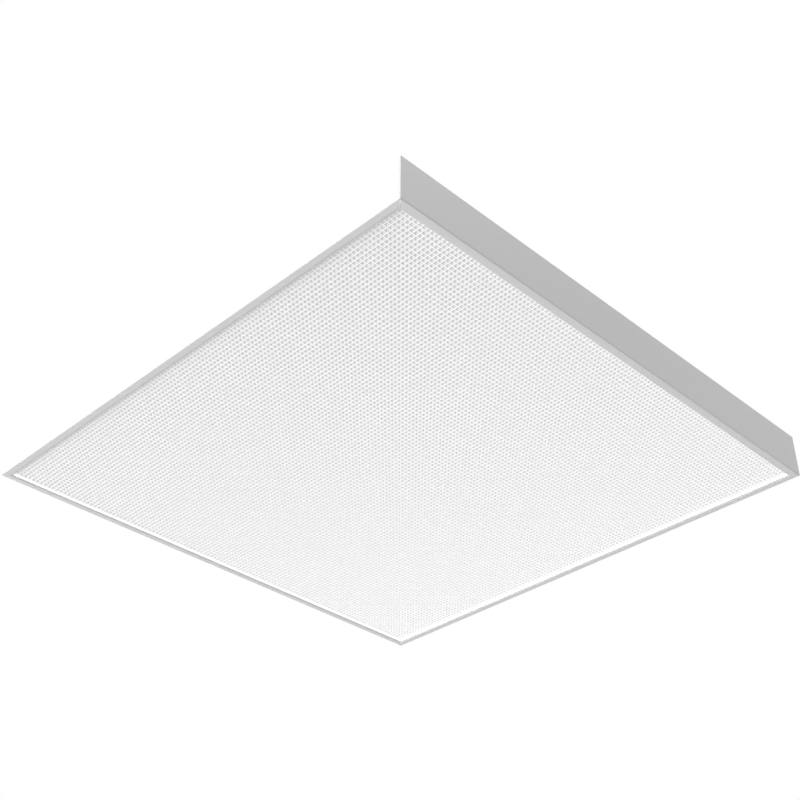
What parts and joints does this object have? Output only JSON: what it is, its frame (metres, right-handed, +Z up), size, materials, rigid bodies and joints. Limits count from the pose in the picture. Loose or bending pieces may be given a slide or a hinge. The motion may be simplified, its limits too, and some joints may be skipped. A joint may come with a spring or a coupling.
{
  "type": "recessed troffer light",
  "caption": "Square recessed ceiling light for a lay-in grid: shallow folded steel housing, hinged prismatic lens door, edge catches and a driver compartment on top.",
  "frame": {"origin": "centre of the square bezel's bottom face", "axes": "+Z up into the ceiling, -Y towards the feed end with the driver compartment, X along the driver compartment"},
  "size_m": [0.603, 0.603, 0.0867],
  "materials": {
    "white_enamel": "satin white enamel",
    "prismatic_acrylic": "frosted, moulded with fine square prisms",
    "galvanised": "galvanised sheet",
    "zinc_plate": "zinc plated",
    "spring_steel": "plain",
    "board_mask": "white solder mask",
    "emitter": "phosphor",
    "white_nylon": "moulded",
    "black_nylon": "moulded",
    "wire_cover": "smooth",
    "driver_case": "white case",
    "green_screw": "green"
  },
  "bodies": {
    "housing": {"back_pan": "white_enamel", "feed_end_plate": "white_enamel", "blind_end_plate": "white_enamel", "end_plate_screws": "zinc_plate", "hanger_brackets": "galvanised", "led_board_1": "board_mask", "led_board_2": "board_mask", "led_board_3": "board_mask", "led_board_4": "board_mask", "led_emitters": "emitter", "board_clips": "white_enamel", "board_connectors": "white_nylon", "led_harness": "wire_cover", "driver_box": "galvanised", "driver_box_screws": "zinc_plate", "ground_screw": "green_screw", "stud_keeper": "galvanised", "led_driver": "driver_case", "driver_screws": "zinc_plate", "terminal_block": "white_nylon", "supply_leads": "wire_cover", "wire_bushing": "black_nylon", "cover_hinge_pins": "zinc_plate"},
    "lens_door": {"latch_rail": "white_enamel", "right_rail": "white_enamel", "hinge_rail": "white_enamel", "left_rail": "white_enamel", "prismatic_lens": "prismatic_acrylic", "hinge_pins": "zinc_plate", "corner_keys": "galvanised", "lens_retainers": "spring_steel"},
    "left_catch_spring": {"left_catch": "spring_steel"},
    "right_catch_spring": {"right_catch": "spring_steel"},
    "driver_cover": {"box_cover": "galvanised"},
    "cover_stud": {"quarter_turn_stud": "zinc_plate"}
  },
  "joints": [
    {"name": "lens_door_hinge", "type": "hinge", "parent": "housing", "child": "lens_door", "pos_m": [0, 0.2908, 0.002], "axis": [1, 0, 0], "range_deg": [0, 90]},
    {"name": "left_catch_flex", "type": "hinge", "parent": "housing", "child": "left_catch_spring", "pos_m": [-0.15, -0.3004, 0.027], "axis": [1, 0, 0], "range_deg": [-4, 0], "stiffness_Nm_per_rad": 0.5},
    {"name": "right_catch_flex", "type": "hinge", "parent": "housing", "child": "right_catch_spring", "pos_m": [0.15, -0.3004, 0.027], "axis": [1, 0, 0], "range_deg": [-4, 0], "stiffness_Nm_per_rad": 0.5},
    {"name": "driver_cover_hinge", "type": "hinge", "parent": "housing", "child": "driver_cover", "pos_m": [0, -0.172, 0.0821], "axis": [-1, 0, 0], "range_deg": [0, 110]},
    {"name": "cover_stud_turn", "type": "hinge", "parent": "driver_cover", "child": "cover_stud", "pos_m": [0, -0.265, 0.083], "axis": [0, 0, 1], "range_deg": [0, 90]}
  ]
}
